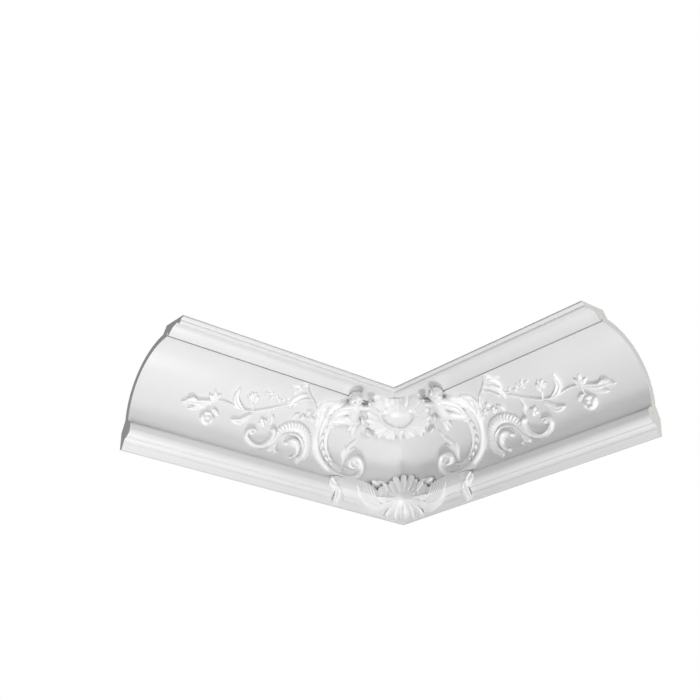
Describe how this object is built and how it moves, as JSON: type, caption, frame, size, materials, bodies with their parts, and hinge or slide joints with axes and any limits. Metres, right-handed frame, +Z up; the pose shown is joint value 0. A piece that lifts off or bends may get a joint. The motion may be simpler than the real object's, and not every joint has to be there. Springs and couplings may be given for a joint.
{
  "type": "cornice inside corner",
  "caption": "White moulded inside corner of a coved cornice, with hollow back and rococo relief of rosette, scrolls, putti, shell and flower branches.",
  "frame": {"origin": "middle of the bounding box on the underside, where the part stands on its two lower edges", "axes": "+Z up to the ceiling; the back wall is on the +Y side and the side wall on the -X side, so the moulded face looks toward +X and -Y"},
  "size_m": [0.505, 0.505, 0.15],
  "materials": {
    "white_foam": "matte white primer on rigid foam"
  },
  "bodies": {
    "root": {"cornice_corner": "white_foam"}
  },
  "joints": []
}
